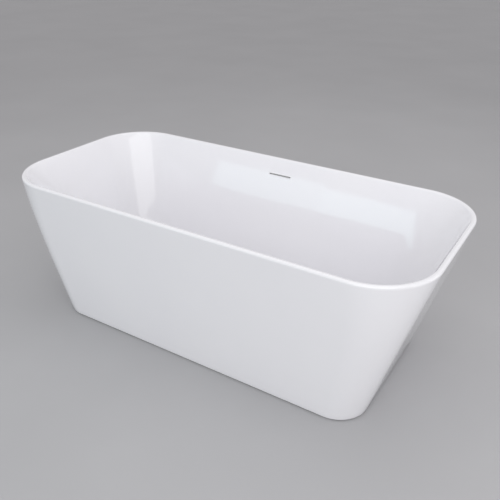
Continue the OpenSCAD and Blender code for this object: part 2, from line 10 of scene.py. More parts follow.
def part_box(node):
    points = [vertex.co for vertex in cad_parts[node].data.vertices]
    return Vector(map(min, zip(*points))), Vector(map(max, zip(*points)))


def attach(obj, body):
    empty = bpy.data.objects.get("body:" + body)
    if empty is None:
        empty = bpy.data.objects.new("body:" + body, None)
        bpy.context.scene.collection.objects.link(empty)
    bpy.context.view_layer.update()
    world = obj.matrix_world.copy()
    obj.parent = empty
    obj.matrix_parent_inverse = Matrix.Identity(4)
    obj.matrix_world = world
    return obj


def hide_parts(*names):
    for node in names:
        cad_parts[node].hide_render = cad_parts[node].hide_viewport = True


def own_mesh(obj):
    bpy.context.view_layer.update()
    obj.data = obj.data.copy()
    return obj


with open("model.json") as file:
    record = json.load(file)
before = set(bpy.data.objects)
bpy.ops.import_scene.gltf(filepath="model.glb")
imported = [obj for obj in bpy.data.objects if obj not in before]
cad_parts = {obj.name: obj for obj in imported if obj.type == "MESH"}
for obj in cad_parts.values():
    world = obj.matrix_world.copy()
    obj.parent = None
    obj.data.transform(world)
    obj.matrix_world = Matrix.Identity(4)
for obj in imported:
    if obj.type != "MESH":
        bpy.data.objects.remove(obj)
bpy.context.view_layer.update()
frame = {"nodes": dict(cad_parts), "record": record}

MM = 0.001

# ---------- the tub's driving sizes, as the CAD has them ----------
basin_lo, basin_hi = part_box("basin")
skirt_lo, skirt_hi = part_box("skirt")
TUB_L = basin_hi[0] - basin_lo[0]
TUB_W = basin_hi[1] - basin_lo[1]
TUB_H = basin_hi[2]
RIM_W = 19 * MM
RIM_ROUND = 8 * MM
RIM_CORNER_R = 224 * MM
FOOT_L = 1368 * MM
FOOT_W = 651 * MM
FOOT_CORNER_R = 114 * MM
SKIRT_GAP = skirt_lo[2]
LIP_Z = skirt_hi[2]
FLANGE_W = 26 * MM
SKIRT_EDGE = 3 * MM
FLOOR_Z = 145 * MM
FLOOR_CORNER_R = 100 * MM
END_LEAN = math.radians(21)
SIDE_LEAN = math.radians(20)
END_FILLET = 150 * MM
SIDE_FILLET = 110 * MM
ACRYLIC_T = 5 * MM
DRAIN_RECESS = 2 * MM
DRAIN_RECESS_R = 37.5 * MM
DRAIN_HOLE_R = 26 * MM
RIM_MID_Z = TUB_H - RIM_ROUND

# ---------- camera: the tub seen from its front right, from above ----------
CAM_TARGET = Vector((0.0466, 0.046, 0.3268))
CAM_AZIMUTH = math.radians(31.59)
CAM_ELEVATION = math.radians(28.24)
CAM_ROLL = math.radians(0.62)
CAM_DISTANCE = 2.4128
CAM_LENS = 43.24


def add_camera():
    look = Vector((-math.sin(CAM_AZIMUTH) * math.cos(CAM_ELEVATION),
                   math.cos(CAM_AZIMUTH) * math.cos(CAM_ELEVATION), -math.sin(CAM_ELEVATION)))
    level_right = Vector((math.cos(CAM_AZIMUTH), math.sin(CAM_AZIMUTH), 0))
    level_up = level_right.cross(look)
    right = level_right * math.cos(CAM_ROLL) + level_up * math.sin(CAM_ROLL)
    up = level_up * math.cos(CAM_ROLL) - level_right * math.sin(CAM_ROLL)
    data = bpy.data.cameras.new("camera")
    data.lens = CAM_LENS
    data.sensor_width = 36
    camera = bpy.data.objects.new("camera", data)
    rotation = Matrix((right, up, -look)).transposed().to_4x4()
    camera.matrix_world = Matrix.Translation(CAM_TARGET - look * CAM_DISTANCE) @ rotation
    bpy.context.collection.objects.link(camera)
    bpy.context.scene.camera = camera


# ---------- materials ----------
class Nodes:
    """A material's node tree, with short calls to add nodes and links."""

    def __init__(self, name, color, rough, metal=0.0):
        self.mat = bpy.data.materials.new(name)
        self.mat.use_nodes = True
        self.tree = self.mat.node_tree
        self.bsdf = next(n for n in self.tree.nodes if n.type == "BSDF_PRINCIPLED")
        self.set("Base Color", (*color, 1))
        self.set("Roughness", rough)
        self.set("Metallic", metal)
        self.coords = self.add("ShaderNodeTexCoord").outputs["Object"]

    def set(self, socket, value):
        self.bsdf.inputs[socket].default_value = value

    def add(self, kind, **values):
        node = self.tree.nodes.new(kind)
        for key, value in values.items():
            socket = key.replace("_", " ")
            if socket in node.inputs:
                node.inputs[socket].default_value = value
            else:
                setattr(node, key, value)
        return node

    def link(self, a, b):
        self.tree.links.new(a, b)

    def stretched(self, scale):
        mapping = self.add("ShaderNodeMapping", Scale=scale)
        self.link(self.coords, mapping.inputs["Vector"])
        return mapping.outputs["Vector"]

    def noise(self, scale, detail=3.0, rough=0.5, vector=None):
        node = self.add("ShaderNodeTexNoise", Scale=scale, Detail=detail, Roughness=rough)
        self.link(vector or self.coords, node.inputs["Vector"])
        return node.outputs["Fac"]

    def cells(self, scale, vector=None):
        """A pattern of cells, with one grey value for each."""
        node = self.add("ShaderNodeTexVoronoi", Scale=scale)
        self.link(vector or self.coords, node.inputs["Vector"])
        grey = self.add("ShaderNodeRGBToBW")
        self.link(node.outputs["Color"], grey.inputs["Color"])
        return grey.outputs["Val"]

    def spread(self, value, low, high, lo_in=0.3, hi_in=0.7):
        node = self.add("ShaderNodeMapRange")
        for name, v in (("From Min", lo_in), ("From Max", hi_in), ("To Min", low), ("To Max", high)):
            node.inputs[name].default_value = v
        self.link(value, node.inputs["Value"])
        return node.outputs["Result"]

    def ramp(self, value, stops):
        node = self.add("ShaderNodeValToRGB")
        ramp = node.color_ramp
        while len(ramp.elements) < len(stops):
            ramp.elements.new(0.5)
        for element, (at, color) in zip(ramp.elements, stops):
            element.position = at
            element.color = (*color, 1)
        self.link(value, node.inputs["Fac"])
        return node.outputs["Color"]

    def color_by(self, value, stops):
        self.link(self.ramp(value, stops), self.bsdf.inputs["Base Color"])

    def rough_by(self, value, low, high, lo_in=0.3, hi_in=0.7):
        self.link(self.spread(value, low, high, lo_in, hi_in), self.bsdf.inputs["Roughness"])

    def bump_by(self, *layers):
        """Each layer is (height, strength, distance in metres)."""
        last = None
        for height, strength, distance in layers:
            node = self.add("ShaderNodeBump", Strength=strength, Distance=distance)
            self.link(height, node.inputs["Height"])
            if last is not None:
                self.link(last, node.inputs["Normal"])
            last = node.outputs["Normal"]
        self.link(last, self.bsdf.inputs["Normal"])


def acrylic():
    n = Nodes("acrylic", (0.86, 0.86, 0.89), 0.1)
    n.set("IOR", 1.49)
    n.set("Coat Weight", 0.35)
    n.set("Coat Roughness", 0.03)
    n.color_by(n.noise(2.5, 4), [(0.3, (0.850, 0.848, 0.878)), (0.7, (0.868, 0.866, 0.892))])
    n.rough_by(n.noise(9, 5), 0.035, 0.075)
    n.bump_by((n.noise(7, 1, 0.3), 0.2, 0.0004), (n.noise(160, 2), 0.08, 0.00003))
    return n.mat


def glass_fibre():
    n = Nodes("glass_fibre", (0.62, 0.58, 0.45), 0.5)
    along = n.noise(220, 4, 0.7, n.stretched((0.15, 1, 1)))
    across = n.noise(220, 4, 0.7, n.stretched((1, 0.15, 1)))
    strands = n.add("ShaderNodeMath", operation="MAXIMUM")
    n.link(along, strands.inputs[0])
    n.link(across, strands.inputs[1])
    weave = strands.outputs["Value"]
    n.color_by(weave, [(0.4, (0.42, 0.38, 0.27)), (0.55, (0.62, 0.58, 0.46)), (0.72, (0.80, 0.77, 0.66))])
    n.rough_by(n.noise(18, 4), 0.28, 0.6)
    n.bump_by((n.noise(14, 3), 0.5, 0.004), (weave, 0.7, 0.0012))
    return n.mat


def board():
    n = Nodes("board", (0.50, 0.36, 0.21), 0.55)
    chips = n.cells(420, n.stretched((0.35, 1, 1)))
    n.color_by(chips, [(0.1, (0.33, 0.22, 0.12)), (0.5, (0.50, 0.36, 0.21)), (0.9, (0.62, 0.48, 0.30))])
    n.rough_by(n.noise(30, 4), 0.35, 0.7)
    n.bump_by((chips, 0.5, 0.0006))
    return n.mat


def galvanised():
    n = Nodes("galvanised", (0.58, 0.60, 0.62), 0.4, 1.0)
    spangle = n.cells(230)
    n.color_by(spangle, [(0.1, (0.52, 0.54, 0.56)), (0.9, (0.64, 0.66, 0.68))])
    n.rough_by(spangle, 0.28, 0.52, 0.1, 0.9)
    n.bump_by((n.noise(40, 4), 0.15, 0.0003))
    return n.mat


def zinc():
    n = Nodes("zinc", (0.66, 0.66, 0.62), 0.3, 1.0)
    n.color_by(n.noise(70, 3), [(0.3, (0.63, 0.64, 0.66)), (0.7, (0.70, 0.69, 0.63))])
    n.rough_by(n.noise(160, 4), 0.22, 0.42)
    n.bump_by((n.noise(500, 3), 0.12, 0.0001))
    return n.mat


def chrome():
    n = Nodes("chrome", (0.80, 0.81, 0.83), 0.08, 1.0)
    n.color_by(n.noise(12, 2), [(0.3, (0.78, 0.79, 0.81)), (0.7, (0.84, 0.85, 0.86))])
    n.rough_by(n.noise(90, 5), 0.05, 0.12)
    n.bump_by((n.noise(900, 2, vector=n.stretched((1, 0.1, 1))), 0.04, 0.00003))
    return n.mat


def moulded(name, color, low, high):
    n = Nodes(name, color, low)
    lighter = tuple(min(0.86, c * 1.25 + 0.01) for c in color)
    n.color_by(n.noise(35, 4), [(0.3, color), (0.7, lighter)])
    n.rough_by(n.noise(50, 4), low, high)
    n.bump_by((n.noise(900, 2), 0.25, 0.00012))
    return n.mat


def floor_material():
    n = Nodes("floor", (0.44, 0.44, 0.45), 0.6)
    n.color_by(n.noise(1.2, 3), [(0.3, (0.43, 0.43, 0.44)), (0.7, (0.455, 0.455, 0.465))])
    return n.mat


ACRYLIC = acrylic()
GLASS_FIBRE = glass_fibre()
BOARD = board()
GALVANISED = galvanised()
ZINC = zinc()
CHROME = chrome()
BLACK = moulded("black_plastic", (0.025, 0.025, 0.028), 0.35, 0.5)
RUBBER = moulded("rubber", (0.018, 0.018, 0.019), 0.6, 0.8)
GREY = moulded("grey_plastic", (0.32, 0.33, 0.35), 0.35, 0.5)
WHITE = moulded("white_plastic", (0.80, 0.80, 0.81), 0.25, 0.4)
ADHESIVE = moulded("adhesive", (0.62, 0.62, 0.58), 0.5, 0.7)
BY_SLOT = {"acrylic": ACRYLIC, "glass_fibre": GLASS_FIBRE, "adhesive": ADHESIVE, "board": BOARD,
           "frame_steel": GALVANISED, "zinc_steel": ZINC, "chrome": CHROME, "rubber": RUBBER,
           "black_plastic": BLACK, "grey_plastic": GREY, "white_plastic": WHITE}

slot_of = {s["node"]: s["material_slot"] for s in frame["record"]["subparts"]}
body_of = {node: body for body, nodes in frame["record"]["behaviour"]["bodies"].items() for node in nodes}


# ---------- mesh helpers ----------
def sharpen(mesh, degrees):
    """Smooth shading with a hard edge wherever two faces meet at more than this angle."""
    limit = math.radians(degrees)
    bm = bmesh.new()
    bm.from_mesh(mesh)
    for face in bm.faces:
        face.smooth = True
    for edge in bm.edges:
        edge.smooth = len(edge.link_faces) == 2 and edge.calc_face_angle(0) < limit
    bm.to_mesh(mesh)
    bm.free()


def new_piece(name, mesh, material, node, extra_nodes=()):
    """Makes a piece that stands for a CAD node, rides with it and takes the material it is given."""
    mesh.materials.clear()
    mesh.materials.append(material)
    obj = bpy.data.objects.new(name, mesh)
    bpy.context.collection.objects.link(obj)
    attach(obj, body_of[node])
    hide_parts(node, *extra_nodes)
    return obj


def loft(name, rings, closed):
    """A mesh through rings of equal length,
    with the last ring joined to the first if closed, or both ends capped if not."""
    count = len(rings[0])
    verts = [p for ring in rings for p in ring]
    faces = []
    for i in range(len(rings) if closed else len(rings) - 1):
        a = i * count
        b = (i + 1) % len(rings) * count
        faces += [(a + j, a + (j + 1) % count, b + (j + 1) % count, b + j) for j in range(count)]
    if not closed:
        faces.append(tuple(range(count - 1, -1, -1)))
        faces.append(tuple((len(rings) - 1) * count + j for j in range(count)))
    mesh = bpy.data.meshes.new(name)
    mesh.from_pydata(verts, [], faces)
    mesh.validate()
    return mesh


def circle(r, z, sides, centre=(0, 0)):
    cx, cy = centre
    angles = [2 * math.pi * k / sides for k in range(sides)]
    return [Vector((cx + r * math.cos(a), cy + r * math.sin(a), z)) for a in angles]


def middle(lo, hi):
    return [(a + b) / 2 for a, b in zip(lo, hi)]


CORNER_STEPS = 28
SIDE_STEPS = 6


def corner_angles(quarter):
    return [math.radians(90 * quarter + 90 * i / CORNER_STEPS) for i in range(CORNER_STEPS + 1)]


def outline(hl, hw, r):
    """Rounded rectangle, anticlockwise: its corners, with points along the straight sides between them."""
    points = []
    centres = [(hl - r, hw - r), (r - hl, hw - r), (r - hl, r - hw), (hl - r, r - hw)]
    for quarter, (cx, cy) in enumerate(centres):
        points += [Vector((cx + r * math.cos(a), cy + r * math.sin(a))) for a in corner_angles(quarter)]
        nx, ny = centres[(quarter + 1) % 4]
        end = math.radians(90 * (quarter + 1))
        start = points[-1]
        stop = Vector((nx + r * math.cos(end), ny + r * math.sin(end)))
        points += [start.lerp(stop, k / SIDE_STEPS) for k in range(1, SIDE_STEPS)]
    return points


def ring(hl, hw, r, z):
    return [Vector((p.x, p.y, z)) for p in outline(hl, hw, r)]


def circle_like(radius, z):
    """A circle with a point for each point of an outline, so that the two can be joined."""
    base = outline(2 * radius, radius, 0.8 * radius)
    return [Vector((p.x, p.y, 0)).normalized() * radius + Vector((0, 0, z)) for p in base]


# ---------- the tub's surfaces, as in the CAD ----------
def out_half(z, half_top, half_foot, off=0.0):
    """Half the skirt's length or width at a height, for a surface moved inward by off."""
    lean = math.atan((half_top - half_foot) / TUB_H)
    zt = RIM_MID_Z - RIM_ROUND * math.sin(lean)
    xt = half_top - RIM_ROUND + RIM_ROUND * math.cos(lean)
    if z > zt:
        half = half_top - RIM_ROUND + math.sqrt(max(0, RIM_ROUND ** 2 - (z - RIM_MID_Z) ** 2))
    else:
        half = half_foot + (xt - half_foot) * z / zt
    return half - off / math.cos(lean)


def out_hw(z, off=0.0):
    return out_half(z, TUB_W / 2, FOOT_W / 2, off)


def out_ring(z, off=0.0):
    v = min(z, RIM_MID_Z) / TUB_H
    r = FOOT_CORNER_R + (RIM_CORNER_R - FOOT_CORNER_R) * (0.5 * v + 0.5 * v ** 4)
    hl = out_half(z, TUB_L / 2, FOOT_L / 2)
    if z > RIM_MID_Z:
        r -= TUB_L / 2 - hl
    return ring(out_half(z, TUB_L / 2, FOOT_L / 2, off), out_hw(z, off), r - off, z)


def in_half(z, half_top, lean, fillet, off=0.0):
    """Half the well's length or width at a height, for a surface moved outward by off."""
    zr = RIM_MID_Z + RIM_ROUND * math.sin(lean)
    xr = half_top + RIM_ROUND * (1 - math.cos(lean))
    zc = FLOOR_Z + fillet
    xf = xr - (zr - zc + fillet * math.sin(lean)) * math.tan(lean) - fillet * math.cos(lean)
    r = fillet + off
    zt = zc - r * math.sin(lean)
    if z > zr and off == 0:
        return half_top + RIM_ROUND - math.sqrt(max(0, RIM_ROUND ** 2 - (z - RIM_MID_Z) ** 2))
    if z > zt:
        return xf + r * math.cos(lean) + (z - zt) * math.tan(lean)
    return xf + math.sqrt(max(0, r ** 2 - (z - zc) ** 2))


def in_hw(z, off=0.0):
    return in_half(z, TUB_W / 2 - RIM_W, SIDE_LEAN, SIDE_FILLET, off)


def in_ring(z, off=0.0):
    w = max(0, min(1, (z - FLOOR_Z + off) / (TUB_H - FLOOR_Z + off)))
    r = FLOOR_CORNER_R + (RIM_CORNER_R - RIM_W + off - FLOOR_CORNER_R) * w ** 0.35
    return ring(in_half(z, TUB_L / 2 - RIM_W, END_LEAN, END_FILLET, off), in_hw(z, off), r, z)


FILLET_STEPS = 28
WALL_STEPS = 10


def basin_heights(off, top):
    """Heights of the basin's rings from its floor up, for a surface moved outward by off."""
    zc = FLOOR_Z + END_FILLET
    angles = [(math.pi / 2 - END_LEAN) * k / FILLET_STEPS for k in range(FILLET_STEPS + 1)]
    heights = [zc - (END_FILLET + off) * math.cos(a) for a in angles]
    last = heights[-1]
    return heights + [last + (top - last) * k / WALL_STEPS for k in range(1, WALL_STEPS + 1)]


def cut(mesh, name, cutter_mesh):
    """The mesh less the cutter's, by an exact boolean."""
    target = bpy.data.objects.new(name, mesh)
    cutter = bpy.data.objects.new("cutter", cutter_mesh)
    for o in (target, cutter):
        bpy.context.collection.objects.link(o)
    modifier = target.modifiers.new("cut", "BOOLEAN")
    modifier.operation = "DIFFERENCE"
    modifier.solver = "EXACT"
    modifier.object = cutter
    evaluated = target.evaluated_get(bpy.context.evaluated_depsgraph_get())
    result = bpy.data.meshes.new_from_object(evaluated)
    for o in (target, cutter):
        bpy.data.objects.remove(o)
    return result


STADIUM_STEPS = 16


def stadium_prism(length, height, z, y0, y1):
    """A prism along Y with round ends, its middle at height z."""
    r = height / 2
    profile = []
    for side, start in ((1, -90), (-1, 90)):
        for k in range(STADIUM_STEPS + 1):
            a = math.radians(start + 180 * k / STADIUM_STEPS)
            profile.append((side * (length / 2 - r) + r * math.cos(a), z + r * math.sin(a)))
    return loft("stadium", [[Vector((x, y, zz)) for x, zz in profile] for y in (y1, y0)], False)


SLOT_Z = 534 * MM
SLOT_L = 103 * MM
SLOT_H = 5.4 * MM
SLOT_CUT_GROW = 2.6 * MM
SLOT_REACH_IN = 20 * MM
SLOT_REACH_OUT = 30 * MM
RIM_OUT_ANGLES = (-12, -6, 0, 8, 16, 25, 35, 45, 55, 65, 75, 90)
RIM_IN_ANGLES = (90, 75, 65, 55, 46, 38, 30)
SEAT_EDGE = 1.5 * MM
SEAT_MARGIN = 30 * MM
SHELL_CREASE = 32


def rim_height(degrees):
    """Height of a point on the rim's rounding, by its angle above level."""
    return RIM_MID_Z + RIM_ROUND * math.sin(math.radians(degrees))


def drain_seat():
    """Rings from the basin's floor down into the drain's recess and through its hole."""
    seat = [circle_like(DRAIN_RECESS_R + SEAT_MARGIN, FLOOR_Z)]
    for a in (0, 30, 60, 90):
        drop = SEAT_EDGE * (1 - math.cos(math.radians(a)))
        seat.append(circle_like(DRAIN_RECESS_R + SEAT_EDGE * (1 - math.sin(math.radians(a))), FLOOR_Z - drop))
    seat.append(circle_like(DRAIN_RECESS_R, FLOOR_Z - DRAIN_RECESS))
    seat.append(circle_like(DRAIN_HOLE_R, FLOOR_Z - DRAIN_RECESS))
    seat.append(circle_like(DRAIN_HOLE_R, FLOOR_Z - ACRYLIC_T))
    return seat


def basin_piece():
    under = [in_ring(z, ACRYLIC_T) for z in basin_heights(ACRYLIC_T, TUB_H - ACRYLIC_T)]
    roof = out_ring(TUB_H - ACRYLIC_T, ACRYLIC_T)
    lip = [roof, out_ring(LIP_Z, ACRYLIC_T), out_ring(LIP_Z)]
    rim_out = [out_ring(rim_height(a)) for a in RIM_OUT_ANGLES]
    rim_in = [in_ring(rim_height(a)) for a in RIM_IN_ANGLES]
    wall_top = RIM_MID_Z + RIM_ROUND * math.sin(END_LEAN)
    wall = [in_ring(z) for z in reversed(basin_heights(0, wall_top))]
    mesh = loft("basin_shell", under + lip + rim_out + rim_in + wall + drain_seat(), True)
    y = in_hw(SLOT_Z)
    slot = stadium_prism(SLOT_L + SLOT_CUT_GROW, SLOT_H + SLOT_CUT_GROW, SLOT_Z,
                         y - SLOT_REACH_IN, y + SLOT_REACH_OUT)
    mesh = cut(mesh, "basin_shell", slot)
    sharpen(mesh, SHELL_CREASE)
    new_piece("basin_shell", mesh, ACRYLIC, "basin")


SKIRT_STEPS = 26


def skirt_piece():
    edge = []
    for a in (0, 15, 30, 45, 60, 75, 90):
        rise = SKIRT_EDGE * (1 - math.cos(math.radians(a)))
        edge.append(out_ring(SKIRT_GAP + rise, SKIRT_EDGE * (1 - math.sin(math.radians(a)))))
    low = SKIRT_GAP + SKIRT_EDGE
    heights = [low + (LIP_Z - low) * (k / SKIRT_STEPS) for k in range(1, SKIRT_STEPS + 1)]
    outside = [out_ring(z) for z in heights]
    flange_top = SKIRT_GAP + ACRYLIC_T
    inside = [out_ring(z, ACRYLIC_T) for z in reversed(heights)]
    flange = [out_ring(flange_top, ACRYLIC_T), out_ring(flange_top, FLANGE_W), out_ring(SKIRT_GAP, FLANGE_W)]
    mesh = loft("skirt_shell", edge + outside + inside + flange, True)
    sharpen(mesh, SHELL_CREASE)
    new_piece("skirt_shell", mesh, ACRYLIC, "skirt")


# ---------- turned and threaded pieces ----------
def turned(name, profile, steps):
    """A solid of revolution about the Z axis, from its (radius, height) profile."""
    bm = bmesh.new()
    rings = []
    for r, z in profile:
        count = 1 if r == 0 else steps
        angles = [2 * math.pi * k / count for k in range(count)]
        rings.append([bm.verts.new((r * math.cos(a), r * math.sin(a), z)) for a in angles])
    hollow = profile[0][0] > 0 and profile[-1][0] > 0
    for a, b in zip(rings, rings[1:] + rings[:1] if hollow else rings[1:]):
        for k in range(steps):
            corners = [a[k % len(a)], a[(k + 1) % len(a)], b[(k + 1) % len(b)], b[k % len(b)]]
            unique = list(dict.fromkeys(corners))
            if len(unique) > 2:
                bm.faces.new(unique)
    bmesh.ops.recalc_face_normals(bm, faces=bm.faces)
    mesh = bpy.data.meshes.new(name)
    bm.to_mesh(mesh)
    bm.free()
    return mesh


def arc(cx, cz, r, start, end, steps):
    """Points of a profile's rounded edge, its angles in degrees."""
    angles = [math.radians(start + (end - start) * k / steps) for k in range(steps + 1)]
    return [(cx + r * math.cos(a), cz + r * math.sin(a)) for a in angles]


PLUG_EDGE = 1.1 * MM
PLUG_SIDES = 128
DOME_STEPS = 18
DOME_POWER = 2.4
ROUND_CREASE = 50


def plug_cap_piece():
    lo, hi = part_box("plug_cap")
    flat_r = (hi[0] - lo[0]) / 2 - PLUG_EDGE
    profile = [(0, lo[2]), (flat_r, lo[2])] + arc(flat_r, lo[2] + PLUG_EDGE, PLUG_EDGE, -70, 60, 8)
    start, base = profile[-1]
    for k in range(1, DOME_STEPS + 1):
        x = start * (1 - k / DOME_STEPS)
        profile.append((x, base + (hi[2] - base) * (1 - (x / start) ** DOME_POWER)))
    mesh = turned("plug_disc", profile, PLUG_SIDES)
    sharpen(mesh, ROUND_CREASE)
    new_piece("plug_disc", mesh, CHROME, "plug_cap")


THREAD_PITCH = 1.75 * MM
THREAD_DEPTH = 0.95 * MM
# Steepness of the thread's flanks: over 1, it leaves a flat at the root
THREAD_FLANK = 1.25
STUD_SIDES = 20
STUD_RINGS_PER_TURN = 7
STUD_CHAMFER = 1.2 * MM
THREAD_CREASE = 60


def thread_groove(turns):
    """Depth below the thread's crest at a point so many turns along the thread."""
    phase = turns % 1
    return THREAD_DEPTH * min(1, THREAD_FLANK * (1 - abs(2 * phase - 1)))


def stud_piece(n):
    node = f"foot_stud_{n}"
    lo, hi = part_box(node)
    cx, cy, _ = middle(lo, hi)
    r = (hi[0] - lo[0]) / 2
    count = round((hi[2] - lo[2]) / THREAD_PITCH * STUD_RINGS_PER_TURN)
    rings = []
    for i in range(count + 1):
        z = lo[2] + (hi[2] - lo[2]) * i / count
        limit = r - max(0, STUD_CHAMFER - (hi[2] - z)) - max(0, STUD_CHAMFER - (z - lo[2]))
        points = []
        for k in range(STUD_SIDES):
            a = 2 * math.pi * k / STUD_SIDES
            groove = thread_groove((z - lo[2]) / THREAD_PITCH - k / STUD_SIDES)
            radius = min(limit, r - groove)
            points.append(Vector((cx + radius * math.cos(a), cy + radius * math.sin(a), z)))
        rings.append(points)
    mesh = loft(f"threaded_stud_{n}", rings, False)
    sharpen(mesh, THREAD_CREASE)
    new_piece(f"threaded_stud_{n}", mesh, ZINC, node)


NUT_ACROSS = 18 * MM
NUT_H = 10 * MM
NUT_BORE = 6.05 * MM
NUT_SIDES = 96
# Radius of a nut's flat end, as a share of half its width across flats
NUT_FACE_SHARE = 0.965
NUT_CHAMFER_H = 1.05 * MM
NUT_CHAMFER_STEPS = 5
NUT_CHAMFER_SLOPE = math.tan(math.radians(60))
NUT_SINK = 0.9 * MM
NUT_CREASE = 24


def nut_ring(cx, cy, z, face_r):
    """Outline of a chamfered hexagonal nut at one height: the hexagon, cut back to the chamfer's radius."""
    points = []
    for k in range(NUT_SIDES):
        a = 2 * math.pi * k / NUT_SIDES
        flat = NUT_ACROSS / 2 / math.cos((a + math.pi / 6) % (math.pi / 3) - math.pi / 6)
        r = min(flat, face_r)
        points.append(Vector((cx + r * math.cos(a), cy + r * math.sin(a), z)))
    return points


def hex_nut(name, cx, cy, z0):
    face_r = NUT_FACE_SHARE * NUT_ACROSS / 2
    heights = [NUT_CHAMFER_H * k / NUT_CHAMFER_STEPS for k in range(NUT_CHAMFER_STEPS + 1)]
    low = [(h, face_r + h * NUT_CHAMFER_SLOPE) for h in heights]
    rings = [nut_ring(cx, cy, z0 + h, r) for h, r in low]
    rings += [nut_ring(cx, cy, z0 + NUT_H - h, r) for h, r in reversed(low)]
    bore = [(NUT_H, NUT_BORE + NUT_SINK), (NUT_H - NUT_SINK, NUT_BORE),
            (NUT_SINK, NUT_BORE), (0, NUT_BORE + NUT_SINK)]
    rings += [circle(r, z0 + h, NUT_SIDES, (cx, cy)) for h, r in bore]
    mesh = loft(name, rings, True)
    sharpen(mesh, NUT_CREASE)
    return mesh


def nut_pieces(n):
    node = f"foot_nuts_{n}"
    lo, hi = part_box(node)
    cx, cy, _ = middle(lo, hi)
    for name, z0 in (("lock_nut", lo[2]), ("top_nut", hi[2] - NUT_H)):
        mesh = hex_nut(f"{name}_{n}", cx, cy, z0)
        new_piece(f"{name}_{n}", mesh, ZINC, node)


# ---------- overflow hose and its clamps ----------
# From a shell's acrylic face to the clear space behind its backing
SHELL_OFF = 8.7 * MM
BOX_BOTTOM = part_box("overflow_box")[0][2]
HOSE_R = 12 * MM
HOSE_BORE = 9.95 * MM
HOSE_BEND = 60 * MM
HOSE_START = 5 * MM
PORT_Z = 78 * MM
HOSE_END_Y = 42 * MM
RIB_PITCH = 4.8 * MM
RIB_DEPTH = 1.3 * MM
RIB_STEPS = 6
RIB_FULLNESS = 0.9
UPPER_CUFF = 31 * MM
LOWER_CUFF = 26 * MM
HOSE_SIDES = 28
HOSE_BORE_STEPS = 60
HOSE_CREASE = 60


def cavity_middle(z):
    """Middle of the space between the basin and the skirt."""
    return (in_hw(z, SHELL_OFF) + out_hw(z, SHELL_OFF)) / 2


# Height down to which the hose's slant follows the space between the shells
LOW_Z = 300 * MM
CAVITY_LEAN = math.atan((cavity_middle(BOX_BOTTOM) - cavity_middle(LOW_Z)) / (BOX_BOTTOM - LOW_Z))
HOSE_TURN = math.pi / 2 - CAVITY_LEAN


def spigot_point(s):
    """Point (y, z) at a distance s below the chamber, along its spigot."""
    return cavity_middle(BOX_BOTTOM) - s * math.sin(CAVITY_LEAN), BOX_BOTTOM - s * math.cos(CAVITY_LEAN)


HOSE_DROP = spigot_point(HOSE_START)[1] - PORT_Z
HOSE_RUN = HOSE_DROP / math.cos(CAVITY_LEAN) - HOSE_BEND * math.tan(HOSE_TURN / 2)
BEND_END_Y = spigot_point(HOSE_START + HOSE_RUN)[0] - HOSE_BEND * math.sin(HOSE_TURN)
HOSE_LENGTH = HOSE_RUN + HOSE_BEND * HOSE_TURN + BEND_END_Y - HOSE_END_Y


def hose_station(s):
    """The hose's middle at a distance s along it: y, z and the direction's angle below level."""
    if s < HOSE_RUN:
        return (*spigot_point(HOSE_START + s), HOSE_TURN)
    a = HOSE_TURN - (s - HOSE_RUN) / HOSE_BEND
    if a > 0:
        return BEND_END_Y + HOSE_BEND * math.sin(a), PORT_Z + HOSE_BEND * (1 - math.cos(a)), a
    return BEND_END_Y - (s - HOSE_RUN - HOSE_BEND * HOSE_TURN), PORT_Z, 0.0


def hose_ring(s, r):
    """A circle round the hose's middle, square to it."""
    y, z, a = hose_station(s)
    angles = [2 * math.pi * k / HOSE_SIDES for k in range(HOSE_SIDES)]
    return [Vector((r * math.cos(t), y - r * math.sin(t) * math.sin(a), z + r * math.sin(t) * math.cos(a)))
            for t in angles]


def hose_piece():
    ribbed = HOSE_LENGTH - UPPER_CUFF - LOWER_CUFF
    ribs = round(ribbed / RIB_PITCH)
    outside = [hose_ring(s, HOSE_R) for s in (0, UPPER_CUFF)]
    for i in range(1, ribs * RIB_STEPS):
        crest = max(0, min(1, 0.5 + RIB_FULLNESS * math.cos(2 * math.pi * i / RIB_STEPS)))
        s = UPPER_CUFF + ribbed * i / ribs / RIB_STEPS
        outside.append(hose_ring(s, HOSE_R - RIB_DEPTH * (1 - crest)))
    outside += [hose_ring(s, HOSE_R) for s in (HOSE_LENGTH - LOWER_CUFF, HOSE_LENGTH)]
    inside = [hose_ring(HOSE_LENGTH * (1 - k / HOSE_BORE_STEPS), HOSE_BORE) for k in range(HOSE_BORE_STEPS + 1)]
    mesh = loft("ribbed_hose", outside + inside, True)
    sharpen(mesh, HOSE_CREASE)
    new_piece("ribbed_hose", mesh, GREY, "overflow_hose")


CLAMP_W = 9 * MM
CLAMP_T = 0.8 * MM
CLAMP_CHAMFER = 0.2 * MM
CLAMP_SIDES = 96
CLAMP_CREASE = 35
BAND_R = HOSE_R + 0.05 * MM
BAND_OUTER = BAND_R + CLAMP_T
HOUSING_R = 15.2 * MM
HOUSING_SIZE = (5.2 * MM, 5.6 * MM, 7.4 * MM)
HOUSING_OFFSET = -0.6 * MM
HOUSING_BEVEL = 0.7 * MM
WORM_HALF = 4.4 * MM
WORM_ROOT_R = 1.5 * MM
WORM_CREST_R = 1.9 * MM
WORM_PITCH = 0.7 * MM
WORM_RIDGES = 9
SCREW_HEAD_R = 2.6 * MM
SCREW_HEAD_TOP_R = 2.2 * MM
SCREW_HEAD_FROM = 2.2 * MM
SCREW_HEAD_CHAMFER_FROM = 4.1 * MM
SCREW_SIDES = 24
BAND_SLOTS = 30
BAND_SLOT_SIZE = Vector((0.3 * MM, 0.9 * MM, 5 * MM))
BAND_SLOT_SLANT = 0.35
# The slots stop where the housing covers the band
COVERED_COS = 0.8


